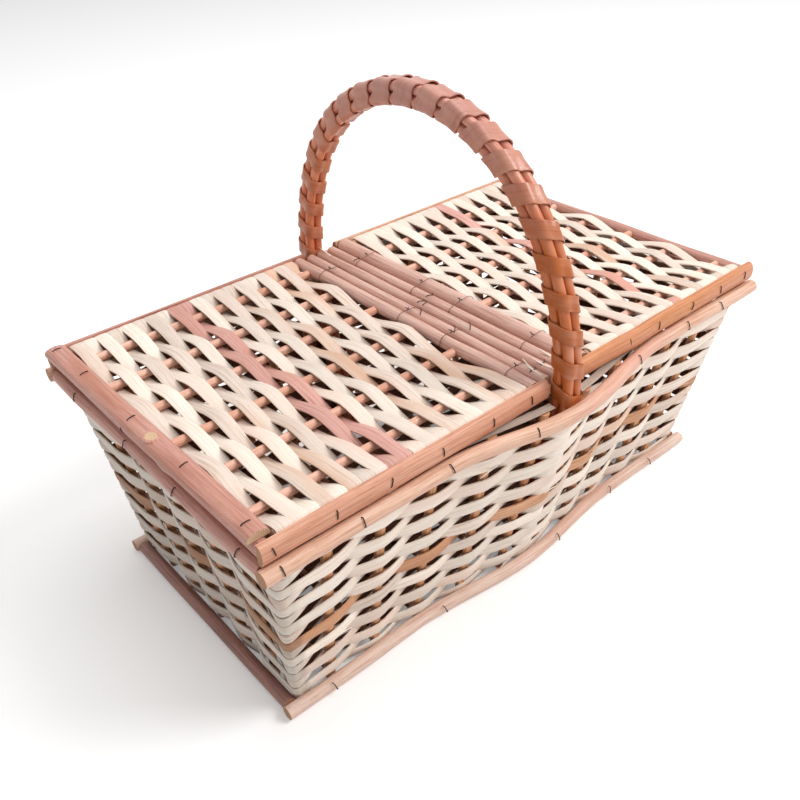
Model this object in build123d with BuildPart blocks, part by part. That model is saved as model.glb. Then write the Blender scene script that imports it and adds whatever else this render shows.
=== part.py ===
from build123d import *
from math import cos, radians, sin, sqrt, tan
import os

os.makedirs("parts", exist_ok=True)

# Picnic basket of split willow: a tapered woven body, two hinged lids that
# meet at a fixed centre bar, and a bound arch handle that stands on the body.
# Millimetres, +Z up, +X along the basket, origin at the centre of the base.

# Heights; the base rods are worn flat underneath, where the basket rests
BASE_ROD_D = 10
BASE_WEAR = 0.5
BASE_Z = BASE_ROD_D / 2 - BASE_WEAR
BASE_ROD_TOP = BASE_Z + BASE_ROD_D / 2
RIM_Z = 146
FIT = 0.3

# Body, measured to the middle of the woven wall
HALF_LENGTH_BASE = 181.7
HALF_LENGTH_RIM = 197.5
HALF_WIDTH_BASE = 88
HALF_WIDTH_RIM = 114
STAKE_D = 5.4
POST_D = 5.4
RIM_ROD_D = 9.5
INNER_ROD_D = 8

# Weave
STRIP_T = 1.2
STRIP_W = 8
WAVE = 4.0
ROWS = 15
ROW_PITCH = 8.75
ROW_START_GAP = 0.7
LONG_WALL_STAKES = 10
LONG_END_BASE = 24.2
LONG_END_RIM = 31
SHORT_WALL_STAKES = 5
SHORT_END_BASE = 24
SHORT_END_RIM = 36

# Floor
FLOOR_Z = 6.5
FLOOR_STRIPS = 15
FLOOR_STRIP_PITCH = 11

# Handle
HANDLE_X = 3
HANDLE_ROD_D = 6.6
HANDLE_ROD_PITCH = 6.8
HANDLE_OUT = 11
HANDLE_HALF_SPAN = HALF_WIDTH_RIM + HANDLE_OUT
HANDLE_HEIGHT = 155.5
HANDLE_TOP_Z = RIM_Z + HANDLE_HEIGHT
CROWN_R = 118
CROWN_ANGLE = 62
LEG_BEND_R = 60
LEG_LEAN = 13.4
LEG_FOOT_Z = 12
BINDING_T = 1.2
BINDING_START = 2

# Ridge that the handle's legs push out of the long walls
RIDGE_BASE = 8
RIDGE_REACH = 97
RIDGE_BEND_R = 200

# Lids
LID_RISE = 12.8
LID_Z = RIM_Z + LID_RISE
LID_OVERHANG = 8.3
LID_HALF_WIDTH = HALF_WIDTH_RIM + LID_OVERHANG
LID_END_OUT = 5.5
LID_ROD_D = 8
LID_SEAT_GAP = 0.3
FACING_T = 5
FACING_H = 13.4
LID_STAKES = 6
LID_STRIP_W = 8
LEFT_HINGE_X = -15.3
LEFT_HINGE_D = 9
LEFT_END_X = -(HALF_LENGTH_RIM + LID_END_OUT)
LEFT_LID_STRIPS = 20
LEFT_STAKE_EDGE = 27.3
LEFT_STAKE_SHIFT = 3.4
RIGHT_HINGE_X = 27
RIGHT_HINGE_D = 12.5
RIGHT_END_X = HALF_LENGTH_RIM + LID_END_OUT
RIGHT_LID_STRIPS = 19
RIGHT_STAKE_EDGE = 28.3
RIGHT_STAKE_SHIFT = -4.4
LID_END_ROD_D = 9.4
TOP_LATH_W = 14
TOP_LATH_H = 4.8

# Centre bar
BAR_ROD_D = 8
BAR_ROD_PITCH = 9.9
BAR_ROD_X = 4.7
BAR_RISE = 13.5
BAR_ROD_Z = RIM_Z + BAR_RISE
BAR_OVERHANG = 2
BAR_HALF_WIDTH = HALF_WIDTH_RIM + BAR_OVERHANG
LATH_T = 4.2
LATH_W = 9.6
LATH_FOOT = 10
TIE_WIRE = 1.2
TIE_GAP = 0.3
LEFT_TIE_Y = (-97, -42, -1, 84)
RIGHT_TIE_Y = (-82, -18, 20, 80)


def at_height(base, rim, z):
    """A size of the tapered body at height z, between its base and rim values."""
    return base + (rim - base) * (z - BASE_Z) / (RIM_Z - BASE_Z)


def half_length(z):
    return at_height(HALF_LENGTH_BASE, HALF_LENGTH_RIM, z)


def half_width(z):
    return at_height(HALF_WIDTH_BASE, HALF_WIDTH_RIM, z)


# Handle legs: upright at the spring line, then bent to lean along the wall
SIDE_R = (HANDLE_HALF_SPAN - CROWN_R * sin(radians(CROWN_ANGLE))) / (1 - sin(radians(CROWN_ANGLE)))
SPRING_Z = HANDLE_TOP_Z - CROWN_R - (SIDE_R - CROWN_R) * cos(radians(CROWN_ANGLE))
LEG_BEND_Z = SPRING_Z - LEG_BEND_R * sin(radians(LEG_LEAN))
LEG_BEND_Y = HANDLE_HALF_SPAN - LEG_BEND_R * (1 - cos(radians(LEG_LEAN)))
BUNDLE_HALF = (HANDLE_ROD_PITCH + HANDLE_ROD_D) / 2


def leg_outer_face(z):
    """How far out the outer side of a handle leg stands at height z."""
    if z < LEG_BEND_Z:
        middle = LEG_BEND_Y - (LEG_BEND_Z - z) * tan(radians(LEG_LEAN))
    else:
        drop = SPRING_Z - z
        middle = HANDLE_HALF_SPAN - LEG_BEND_R + sqrt(LEG_BEND_R**2 - drop**2)
    return middle + BUNDLE_HALF


# The outer rim rod clears the legs, and its bend cuts the corner a little
RIM_ROD_OUT = STAKE_D / 2 + FIT + RIM_ROD_D / 2
ridge_turn = (leg_outer_face(RIM_Z) - HALF_WIDTH_RIM) / RIDGE_REACH
BEND_CUT = RIDGE_BEND_R * (sqrt(1 + ridge_turn**2) - 1)
RIDGE_RIM = leg_outer_face(RIM_Z) + FIT + RIM_ROD_D / 2 - HALF_WIDTH_RIM - RIM_ROD_OUT + BEND_CUT


def ridge(x, z):
    """How far the long wall is pushed out beside the handle."""
    share = max(0, 1 - abs(x - HANDLE_X) / RIDGE_REACH)
    return share * at_height(RIDGE_BASE, RIDGE_RIM, z)


def places(count, pitch, middle=0):
    """Evenly spaced places about a middle."""
    return [middle + (i - (count - 1) / 2) * pitch for i in range(count)]


def spread(count, reach):
    """Places from one reach to the other, as the stakes of a wall stand."""
    return places(count, 2 * reach / (count - 1))


def rod(start, end, diameter):
    """A straight round rod between two points."""
    run = Vector(*end) - Vector(*start)
    with BuildPart() as made:
        with BuildSketch(Plane(origin=start, z_dir=run)):
            Circle(diameter / 2)
        extrude(amount=run.length)
    return made.part


def bent_rod(points, radius, diameter):
    """A round rod along straight runs joined by arcs."""
    with BuildPart() as made:
        with BuildLine() as path:
            FilletPolyline(*points, radius=radius)
        with BuildSketch(Plane(origin=path.line @ 0, z_dir=path.line % 0)):
            Circle(diameter / 2)
        sweep(path=path.line)
    return made.part


def strip(plane, points, width, lean=None):
    """A flat strip that winds through points in a plane, and rises from it by width."""
    near = [(x, y - STRIP_T / 2) for x, y in points]
    far = [(x, y + STRIP_T / 2) for x, y in reversed(points)]
    with BuildPart() as made:
        with BuildSketch(plane):
            with BuildLine():
                Polyline(*near, *far, close=True)
            make_face()
        extrude(amount=width, dir=lean)
    return made.part


def save(label, *solids):
    """Gathers a sub-part's solids under its name and writes its file."""
    with BuildPart() as piece:
        add(solids)
    piece.part.label = label
    export_step(piece.part, f"parts/{label}.step")
    return piece.part


# Body frame: rods round the base and the rim, posts at the corners
base_rod_y = HALF_WIDTH_BASE + STAKE_D / 2 + FIT + BASE_ROD_D / 2
base_rod_x = HALF_LENGTH_BASE + STAKE_D / 2 + FIT + BASE_ROD_D / 2
base_end = base_rod_x + BASE_ROD_D / 2


def ridge_rod_points(middle_y, peak, reach, z):
    """The front rod's route, pushed out where the handle stands."""
    return [
        (-reach, -middle_y, z),
        (HANDLE_X - RIDGE_REACH, -middle_y, z),
        (HANDLE_X, -middle_y - peak, z),
        (HANDLE_X + RIDGE_REACH, -middle_y, z),
        (reach, -middle_y, z),
    ]


def worn_flat(solid):
    """What is left of a base rod above the surface that it rests on."""
    return split(solid, bisect_by=Plane.XY, keep=Keep.TOP)


round_front_rod = bent_rod(
    ridge_rod_points(base_rod_y, RIDGE_BASE, base_end, BASE_Z), RIDGE_BEND_R, BASE_ROD_D
)
front_base_rod = worn_flat(round_front_rod)
side_base_reach = base_rod_y - BASE_ROD_D / 2 - FIT
round_right_rod = rod(
    (base_rod_x, -side_base_reach, BASE_Z), (base_rod_x, side_base_reach, BASE_Z), BASE_ROD_D
)
right_base_rod = worn_flat(round_right_rod)
save("front_base_rod", front_base_rod)
save("back_base_rod", mirror(front_base_rod, about=Plane.XZ))
save("right_base_rod", right_base_rod)
save("left_base_rod", mirror(right_base_rod, about=Plane.YZ))

rim_rod_y = HALF_WIDTH_RIM + RIM_ROD_OUT
rim_rod_x = HALF_LENGTH_RIM + RIM_ROD_OUT
rim_end = rim_rod_x + RIM_ROD_D / 2
front_rim_rod = bent_rod(
    ridge_rod_points(rim_rod_y, RIDGE_RIM, rim_end, RIM_Z), RIDGE_BEND_R, RIM_ROD_D
)
side_rim_reach = rim_rod_y - RIM_ROD_D / 2 - FIT
right_rim_rod = rod(
    (rim_rod_x, -side_rim_reach, RIM_Z), (rim_rod_x, side_rim_reach, RIM_Z), RIM_ROD_D
)
save("front_rim_rod", front_rim_rod)
save("back_rim_rod", mirror(front_rim_rod, about=Plane.XZ))
save("right_rim_rod", right_rim_rod)
save("left_rim_rod", mirror(right_rim_rod, about=Plane.YZ))

inner_in = STAKE_D / 2 + FIT + INNER_ROD_D / 2
inner_y = HALF_WIDTH_RIM - inner_in
inner_x = HALF_LENGTH_RIM - inner_in
inner_end = inner_x + INNER_ROD_D / 2
inner_side_reach = inner_y - INNER_ROD_D / 2 - FIT
inner_z = RIM_Z + (RIM_ROD_D - INNER_ROD_D) / 2
front_inner_rod = rod((-inner_end, -inner_y, inner_z), (inner_end, -inner_y, inner_z), INNER_ROD_D)
right_inner_rod = rod(
    (inner_x, -inner_side_reach, inner_z), (inner_x, inner_side_reach, inner_z), INNER_ROD_D
)
save("front_inner_rim_rod", front_inner_rod)
save("back_inner_rim_rod", mirror(front_inner_rod, about=Plane.XZ))
save("right_inner_rim_rod", right_inner_rod)
save("left_inner_rim_rod", mirror(right_inner_rod, about=Plane.YZ))

post_foot_z = 1
rim_top = RIM_Z + RIM_ROD_D / 2
front_right_post = rod(
    (half_length(post_foot_z), -half_width(post_foot_z), post_foot_z),
    (half_length(rim_top), -half_width(rim_top), rim_top),
    POST_D,
)
front_left_post = mirror(front_right_post, about=Plane.YZ)
save(
    "corner_posts",
    front_right_post,
    front_left_post,
    mirror(front_right_post, about=Plane.XZ),
    mirror(front_left_post, about=Plane.XZ),
)

# Stakes: the uprights that the strips are woven round
long_base = spread(LONG_WALL_STAKES, HALF_LENGTH_BASE - LONG_END_BASE)
long_rim = spread(LONG_WALL_STAKES, HALF_LENGTH_RIM - LONG_END_RIM)
short_base = spread(SHORT_WALL_STAKES, HALF_WIDTH_BASE - SHORT_END_BASE)
short_rim = spread(SHORT_WALL_STAKES, HALF_WIDTH_RIM - SHORT_END_RIM)


def beside_handle(x):
    """Moves a long wall's stake so that the handle stands midway between two."""
    return x + HANDLE_X * max(0, 1 - abs(x) / RIDGE_REACH)


def long_stake_point(index, z):
    """The middle of a front wall stake at height z."""
    x = beside_handle(at_height(long_base[index], long_rim[index], z))
    return (x, -half_width(z) - ridge(x, z), z)


def short_stake_point(index, z):
    """The middle of a right wall stake at height z."""
    return (half_length(z), at_height(short_base[index], short_rim[index], z), z)


front_stakes = [
    rod(long_stake_point(i, post_foot_z), long_stake_point(i, rim_top), STAKE_D)
    for i in range(LONG_WALL_STAKES)
]
right_stakes = [
    rod(short_stake_point(i, post_foot_z), short_stake_point(i, rim_top), STAKE_D)
    for i in range(SHORT_WALL_STAKES)
]
front_wall_stakes = save("front_wall_stakes", *front_stakes)
save("back_wall_stakes", mirror(front_wall_stakes, about=Plane.XZ))
right_wall_stakes = save("right_wall_stakes", *right_stakes)
save("left_wall_stakes", mirror(right_wall_stakes, about=Plane.YZ))


# Woven walls: each strip passes outside one stake and inside the next
def side_of(index, row):
    """Which side of a stake a strip passes: +1 outside, -1 inside."""
    return 1 if (index + row) % 2 == 0 else -1


def strip_lean(spread):
    """The direction in which a wall's strips rise; spread is the wall's growth outwards."""
    return Vector(*spread, RIM_Z - BASE_Z).normalized()


def front_strip(row):
    """One strip of the front wall, carried round over the handle's leg."""
    z = BASE_ROD_TOP + ROW_START_GAP + row * ROW_PITCH
    wall = -half_width(z)
    corner = half_length(z)
    over_leg = -leg_outer_face(z + STRIP_W) - FIT - STRIP_T / 2
    over_leg += half_width(z + STRIP_W) - half_width(z)
    leg_edge = HANDLE_ROD_PITCH / 2 + STRIP_T
    corner_y = wall - WAVE
    points = [(-corner - WAVE - STRIP_T / 2, corner_y), (-corner + POST_D / 2, corner_y)]
    for i in range(LONG_WALL_STAKES):
        if i == LONG_WALL_STAKES // 2:
            points += [(HANDLE_X - leg_edge, over_leg), (HANDLE_X + leg_edge, over_leg)]
        x, y, _ = long_stake_point(i, z)
        points.append((x, y - WAVE * side_of(i, row)))
    points += [(corner - POST_D / 2, corner_y), (corner + WAVE + STRIP_T / 2, corner_y)]
    lean = strip_lean((0, -(HALF_WIDTH_RIM - HALF_WIDTH_BASE)))
    return strip(Plane.XY.offset(z), points, STRIP_W, lean)


def right_strip(row):
    """One strip of the right wall, ending behind the long walls' strips."""
    z = BASE_ROD_TOP + ROW_START_GAP + row * ROW_PITCH
    plane = Plane(origin=(half_length(z), 0, z), x_dir=(0, 1, 0), z_dir=(0, 0, 1))
    end = half_width(z) + WAVE - STRIP_T / 2 - FIT
    points = [(-end, -WAVE), (-half_width(z) + POST_D / 2, -WAVE)]
    for i in range(SHORT_WALL_STAKES):
        _, y, _ = short_stake_point(i, z)
        points.append((y, -WAVE * side_of(i, row)))
    points += [(half_width(z) - POST_D / 2, -WAVE), (end, -WAVE)]
    lean = strip_lean((HALF_LENGTH_RIM - HALF_LENGTH_BASE, 0))
    return strip(plane, points, STRIP_W, lean)


front_wall_weave = save("front_wall_weave", *[front_strip(row) for row in range(ROWS)])
save("back_wall_weave", mirror(front_wall_weave, about=Plane.XZ))
right_wall_weave = save("right_wall_weave", *[right_strip(row) for row in range(ROWS)])
save("left_wall_weave", mirror(right_wall_weave, about=Plane.YZ))

# Floor: cross stakes from wall to wall, with strips woven along the basket
floor_reach = half_width(FLOOR_Z - STAKE_D / 2) - STAKE_D / 2 - FIT
floor_end = half_length(FLOOR_Z) - STAKE_D / 2 - FIT - WAVE
floor_x = [at_height(b, r, FLOOR_Z) for b, r in zip(long_base, long_rim)]
save(
    "floor_stakes",
    *[rod((x, -floor_reach, FLOOR_Z), (x, floor_reach, FLOOR_Z), STAKE_D) for x in floor_x],
)


def floor_strip(row, y):
    """One strip of the floor, woven over and under the cross stakes."""
    plane = Plane(origin=(0, y - STRIP_W / 2, FLOOR_Z), x_dir=(1, 0, 0), z_dir=(0, 1, 0))
    points = [(-floor_end, 0)]
    points += [(x, WAVE * side_of(i, row)) for i, x in enumerate(floor_x)]
    points += [(floor_end, 0)]
    return strip(plane, points, STRIP_W)


floor_rows = places(FLOOR_STRIPS, FLOOR_STRIP_PITCH)
save("floor_weave", *[floor_strip(row, y) for row, y in enumerate(floor_rows)])


# Handle: four rods bent to an arch, bound together, with legs down the walls
def arch_path(x, out, foot_z):
    """The arch's line at x, moved outwards by out from the bundle's middle."""
    lean_in = radians(LEG_LEAN)
    bend_y = LEG_BEND_Y + out * cos(lean_in)
    bend_z = LEG_BEND_Z - out * sin(lean_in)
    foot_y = bend_y - (bend_z - foot_z) * tan(lean_in)
    side_angle = 90 - CROWN_ANGLE
    with BuildLine(Plane.YZ.offset(x)) as path:
        leg = Line((foot_y, foot_z), (bend_y, bend_z))
        bend = JernArc(leg @ 1, leg % 1, LEG_BEND_R + out, LEG_LEAN)
        side = JernArc(bend @ 1, bend % 1, SIDE_R + out, side_angle)
        crown = JernArc(side @ 1, side % 1, CROWN_R + out, 2 * CROWN_ANGLE)
        far_side = JernArc(crown @ 1, crown % 1, SIDE_R + out, side_angle)
        far_bend = JernArc(far_side @ 1, far_side % 1, LEG_BEND_R + out, LEG_LEAN)
        Line(far_bend @ 1, (-foot_y, foot_z))
    return path.line


def handle_rod(x, out):
    """One of the handle's four rods."""
    path = arch_path(x, out, LEG_FOOT_Z)
    with BuildPart() as made:
        with BuildSketch(Plane(origin=path @ 0, z_dir=path % 0)):
            Circle(HANDLE_ROD_D / 2)
        sweep(path=path)
    return made.part


half_pitch = HANDLE_ROD_PITCH / 2
save("handle_rod_outer_left", handle_rod(HANDLE_X - half_pitch, half_pitch))
save("handle_rod_outer_right", handle_rod(HANDLE_X + half_pitch, half_pitch))
save("handle_rod_inner_left", handle_rod(HANDLE_X - half_pitch, -half_pitch))
save("handle_rod_inner_right", handle_rod(HANDLE_X + half_pitch, -half_pitch))

binding_start_z = SPRING_Z - BINDING_START
binding_inner = 2 * (BUNDLE_HALF + FIT)
binding_outer = binding_inner + 2 * BINDING_T
binding_round = HANDLE_ROD_D / 2
with BuildPart() as handle_binding:
    with BuildLine(Plane.YZ.offset(HANDLE_X)) as binding_path:
        foot = Line((HANDLE_HALF_SPAN, binding_start_z), (HANDLE_HALF_SPAN, SPRING_Z))
        rise = JernArc(foot @ 1, foot % 1, SIDE_R, 90 - CROWN_ANGLE)
        top = JernArc(rise @ 1, rise % 1, CROWN_R, 2 * CROWN_ANGLE)
        fall = JernArc(top @ 1, top % 1, SIDE_R, 90 - CROWN_ANGLE)
        Line(fall @ 1, (-HANDLE_HALF_SPAN, binding_start_z))
    with BuildSketch(Plane(origin=binding_path.line @ 0, z_dir=(0, 0, 1))):
        RectangleRounded(binding_outer, binding_outer, binding_round + BINDING_T)
        RectangleRounded(binding_inner, binding_inner, binding_round, mode=Mode.SUBTRACT)
    sweep(path=binding_path.line)
handle_binding.part.label = "handle_binding"
export_step(handle_binding.part, "parts/handle_binding.step")

# Centre bar: three rods on a flat lath that rests on the inner rim rods
bar_x = places(3, BAR_ROD_PITCH, BAR_ROD_X)
bar_rods = [
    rod((x, -BAR_HALF_WIDTH, BAR_ROD_Z), (x, BAR_HALF_WIDTH, BAR_ROD_Z), BAR_ROD_D) for x in bar_x
]
save("centre_bar_rods", *bar_rods)

lath_top = BAR_ROD_Z - BAR_ROD_D / 2 - FIT
lath_reach = inner_y + INNER_ROD_D / 2
with BuildPart() as centre_bar_lath:
    with BuildSketch(Plane.XY.offset(lath_top - LATH_T)):
        with Locations((BAR_ROD_X, 0)):
            Rectangle(LATH_W, 2 * lath_reach)
        for way in (-1, 1):
            with Locations((BAR_ROD_X, way * (lath_reach - LATH_FOOT / 2))):
                Rectangle(2 * BAR_ROD_PITCH + BAR_ROD_D, LATH_FOOT)
    extrude(amount=LATH_T)
centre_bar_lath.part.label = "centre_bar_lath"
export_step(centre_bar_lath.part, "parts/centre_bar_lath.step")


# Hinge ties: wire loops that hold each lid's hinge rod to the bar
def tie_loop(bar_rod_x, hinge_x, hinge_d, y):
    """A wire loop round a bar rod and the lid's hinge rod beside it."""
    way = 1 if hinge_x > bar_rod_x else -1
    loop_r = max(BAR_ROD_D, hinge_d) / 2 + TIE_GAP
    bar_end = bar_rod_x - way * (BAR_ROD_D / 2 + TIE_GAP - loop_r)
    hinge_end = hinge_x + way * (hinge_d / 2 + TIE_GAP - loop_r)
    plane = Plane(
        origin=((bar_end + hinge_end) / 2, y - TIE_WIRE / 2, BAR_ROD_Z),
        x_dir=(1, 0, 0),
        z_dir=(0, 1, 0),
    )
    span = abs(hinge_end - bar_end)
    with BuildPart() as made:
        with BuildSketch(plane):
            SlotCenterToCenter(span, 2 * (loop_r + TIE_WIRE))
            SlotCenterToCenter(span, 2 * loop_r, mode=Mode.SUBTRACT)
        extrude(amount=TIE_WIRE)
    return made.part


save("left_hinge_ties", *[tie_loop(bar_x[0], LEFT_HINGE_X, LEFT_HINGE_D, y) for y in LEFT_TIE_Y])
save("right_hinge_ties", *[tie_loop(bar_x[2], RIGHT_HINGE_X, RIGHT_HINGE_D, y) for y in RIGHT_TIE_Y])


# Lids: a frame of rods with stakes along the basket and strips across it
def half_round(plane, width, height, length):
    """A lath with a flat underside and a rounded top."""
    with BuildPart() as made:
        with BuildSketch(plane):
            with BuildLine():
                Polyline((-width / 2, height / 3), (-width / 2, 0), (width / 2, 0), (width / 2, height / 3))
                ThreePointArc((width / 2, height / 3), (0, height), (-width / 2, height / 3))
            make_face()
        extrude(amount=length)
    return made.part


def make_lid(side, hinge_x, hinge_d, end_x, end_cover, strips, stake_edge, stake_shift):
    """Writes the nodes that both lids have; end_cover is how wide the outer end's rod or lath is."""
    way = 1 if end_x > hinge_x else -1
    frame_y = LID_HALF_WIDTH - FACING_T - FIT - LID_ROD_D / 2
    hinge_reach = BAR_HALF_WIDTH
    near_x = hinge_x + way * (hinge_d / 2 + FIT)
    far_x = end_x - way * (LID_END_ROD_D / 2 + FIT)
    hinge_z = BAR_ROD_Z
    last = end_x - way * (end_cover / 2 + FIT)
    outer_x = end_x + way * LID_END_ROD_D / 2

    save(
        f"{side}_lid_hinge_rod",
        rod((hinge_x, -hinge_reach, hinge_z), (hinge_x, hinge_reach, hinge_z), hinge_d),
    )
    save(
        f"{side}_lid_end_rod",
        rod((end_x, -end_reach, end_rod_z), (end_x, end_reach, end_rod_z), LID_END_ROD_D),
    )
    front_rod = rod((near_x, -frame_y, LID_Z), (last, -frame_y, LID_Z), LID_ROD_D)
    save(f"{side}_lid_front_rod", front_rod)
    save(f"{side}_lid_back_rod", mirror(front_rod, about=Plane.XZ))

    facing_z = rim_top + LID_SEAT_GAP
    facing_plane = Plane(
        origin=(min(near_x, outer_x), -LID_HALF_WIDTH + FACING_T, facing_z + FACING_H / 2),
        x_dir=(0, 0, 1),
        z_dir=(1, 0, 0),
    )
    front_facing = half_round(facing_plane, FACING_H, FACING_T, abs(outer_x - near_x))
    save(f"{side}_lid_front_facing", front_facing)
    save(f"{side}_lid_back_facing", mirror(front_facing, about=Plane.XZ))

    stake_y = [y + stake_shift for y in spread(LID_STAKES, LID_HALF_WIDTH - stake_edge)]
    save(
        f"{side}_lid_stakes",
        *[rod((near_x, y, LID_Z), (far_x, y, LID_Z), STAKE_D) for y in stake_y],
    )

    first = hinge_x + way * (hinge_d / 2 + 2 * TIE_GAP + TIE_WIRE)
    pitch = (abs(last - first) - LID_STRIP_W) / (strips - 1)
    over_frame = LID_ROD_D / 2 + FIT + STRIP_T / 2
    wrap_end = frame_y + LID_ROD_D / 2
    woven = []
    for row in range(strips):
        x = first + way * (LID_STRIP_W / 2 + row * pitch)
        plane = Plane(origin=(x - LID_STRIP_W / 2, 0, LID_Z), x_dir=(0, -1, 0), z_dir=(1, 0, 0))
        points = [(-wrap_end, over_frame), (-frame_y + 1, over_frame)]
        for i, y in enumerate(reversed(stake_y)):
            points.append((-y, WAVE * side_of(i, row)))
        points += [(frame_y - 1, over_frame), (wrap_end, over_frame)]
        woven.append(strip(plane, points, LID_STRIP_W))
    save(f"{side}_lid_weave", *woven)


end_rod_z = LID_Z - (LID_END_ROD_D - STAKE_D) / 2 + FIT
end_reach = LID_HALF_WIDTH - FACING_T - FIT
make_lid(
    "left",
    LEFT_HINGE_X,
    LEFT_HINGE_D,
    LEFT_END_X,
    TOP_LATH_W,
    LEFT_LID_STRIPS,
    LEFT_STAKE_EDGE,
    LEFT_STAKE_SHIFT,
)
make_lid(
    "right",
    RIGHT_HINGE_X,
    RIGHT_HINGE_D,
    RIGHT_END_X,
    LID_END_ROD_D,
    RIGHT_LID_STRIPS,
    RIGHT_STAKE_EDGE,
    RIGHT_STAKE_SHIFT,
)

top_lath_plane = Plane(
    origin=(LEFT_END_X, -end_reach, end_rod_z + LID_END_ROD_D / 2 + FIT),
    x_dir=(-1, 0, 0),
    z_dir=(0, 1, 0),
)
save("left_lid_top_lath", half_round(top_lath_plane, TOP_LATH_W, TOP_LATH_H, 2 * end_reach))
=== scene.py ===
import math
import random

import bmesh
import bpy
from mathutils import Matrix, Vector


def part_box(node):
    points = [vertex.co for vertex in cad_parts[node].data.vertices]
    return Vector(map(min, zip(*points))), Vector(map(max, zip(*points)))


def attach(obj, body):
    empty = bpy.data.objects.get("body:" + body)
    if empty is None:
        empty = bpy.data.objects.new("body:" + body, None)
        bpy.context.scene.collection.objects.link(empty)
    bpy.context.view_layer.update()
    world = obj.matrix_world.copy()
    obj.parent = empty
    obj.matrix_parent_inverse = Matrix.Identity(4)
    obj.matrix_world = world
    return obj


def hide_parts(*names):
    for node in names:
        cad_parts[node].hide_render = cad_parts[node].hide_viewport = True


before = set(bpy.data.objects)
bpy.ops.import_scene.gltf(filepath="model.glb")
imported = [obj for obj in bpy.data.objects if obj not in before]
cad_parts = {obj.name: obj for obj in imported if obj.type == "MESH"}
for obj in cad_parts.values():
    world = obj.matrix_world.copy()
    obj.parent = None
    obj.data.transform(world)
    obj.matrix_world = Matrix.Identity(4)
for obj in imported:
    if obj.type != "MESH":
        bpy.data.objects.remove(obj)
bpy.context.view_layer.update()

# Lengths below are millimetres in the frame's axes, and become metres when a mesh is made
MM = 0.001
FIT = 0.3
X_AXIS = Vector((1, 0, 0))
Y_AXIS = Vector((0, 1, 0))
Z_AXIS = Vector((0, 0, 1))

# The tapered body
BASE_Z = 4.5
BASE_ROD_D = 10
BASE_WORN_D = 8.8
BASE_SUNK = 0.4
BASE_DRAWN_IN = 0.6
RIM_Z = 146
RIM_ROD_D = 9.5
HALF_LENGTH_BASE = 181.7
HALF_LENGTH_RIM = 197.5
HALF_WIDTH_BASE = 88
HALF_WIDTH_RIM = 114
STAKE_D = 5.4
STAKE_W = 6.4
STAKE_DEPTH = 4.6
STAKE_FOOT_Z = 1
STAKE_TOP_Z = 148
LONG_STAKES = 10
LONG_PITCH_BASE = 35
LONG_PITCH_RIM = 37
SHORT_STAKES = 5
SHORT_PITCH_BASE = 32
SHORT_PITCH_RIM = 39
RIM_STRIP_W = 5.2
LEG_ROOM = 12

# The weave
ROWS = 15
ROW_PITCH = 8.75
FIRST_ROW_Z = 13.8
FOOT_ROW_Z = 6.8
FOOT_ROW_W = 6
FOOT_ROW_SWING = 3
STRIP_T = 1.2
WALL_STRIP_W = (9.2, 10.0)
LEAF = 0.7
WAVE = 4.0
WALL_SWINGS = (0.93, 1.1)
PAST_LEG_X = 1.5
PAST_LEG_Z = 2
STRAIGHTNESS = 0.4
LINE_STEPS = 7
BROWN_ROWS = (6,)
CORNER_REACH = 30
CORNER_PINCH = 0.72
# Painted shade: how much darker the left wall's strips are made, for the shade that it stands in.
LEFT_WALL_PAINTED_SHADE = -2.5
PATCH_ROW = 3
PATCH_Y = -64
PATCH_REACH = 17
PATCH_SPARE_W = 0.6
FRAY_TRIES = 3
FRAY_HEIGHT = 0.6 * WAVE
FRAY_PINCH = 0.9
FLOOR_Z = 6.5
FLOOR_STRIPS = 15
FLOOR_PITCH = 11
FLOOR_STRIP_W = 10.8

# The handle
HANDLE_X = 3
HANDLE_ROD_D = 6.6
HANDLE_ROD_PITCH = 6.8
HANDLE_HALF_SPAN = 125
HANDLE_TOP_Z = 301.5
CROWN_R = 118
CROWN_ANGLE = math.radians(62)
LEG_BEND_R = 60
LEG_LEAN = math.radians(13.4)
LEG_FOOT_Z = 12
BINDING_TURNS = 22
BINDING_FOOT_W = 9.0
BINDING_CROWN_W = 15.5
BINDING_PAST_SPRING = 12
BINDING_T = 1.0
BINDING_ROOM = 0.15

# The ridges beside the handle
RIDGE_BASE = 8
RIDGE_REACH = 97

# The lids
LID_Z = 158.8
LID_STAKES = 6
LID_ROD_D = 8
LID_HALF_WIDTH = 122.3
LID_STRIP_W = (8.1, 8.8)
LID_SWINGS = (0.95, 1.12)
WRAP_BEFORE = 1
WRAP_AFTER = 1.5
END_DROP = 2.0
STRIP_MARGIN = 5.1
FACING_T = 5
SPLIT_TRIM = 0.4
PAST_HINGE = 6.5
KINK_X = 75
KINK_REACH = 14

# Wire, and the places where the photograph shows it
WIRE_D = 0.55
TIE_WIRE_D = 0.42
TIE_ROOM_HINGE = 0.85
TIE_ROOM_BAR = 0.6
TWIST_SUNK = 0.4
STAPLE_R = 0.33
STAPLE_LENGTH = 5.4
RIM_STAPLES_X = (-200, -151, -90, -33, 70, 127, 166)
RIM_STAPLES_Y = (-98, -40, 22, 84)
BASE_STAPLES_X = (-160, -70, 30, 96, 150)
LATH_STAPLES_Y = (112, 74, 12, -45, -104)
BAR_TWISTS = ((-9, -8), (1, -1), (8, 3), (15, 5), (11, 84), (-9, -40), (3, -44), (-9, -106), (1, -105))
SPLINTERS = ((-9, -108), (-2, -113), (8, -111), (16, -107), (9, 104))
LOOP_Y = 20
LATH_KNOT_Y = -12

# Grown wood
ROD_STEP = 9
ROD_SIDES = 14
KNOT_REACH = 3.5
SWELL_SPAN = 120

# Grain, in centimetres of UV, and the angle from which an edge is sharp
UV_CM = 0.1
STRAND_SHIFT = 9.7
CREASE = math.radians(40)

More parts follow.
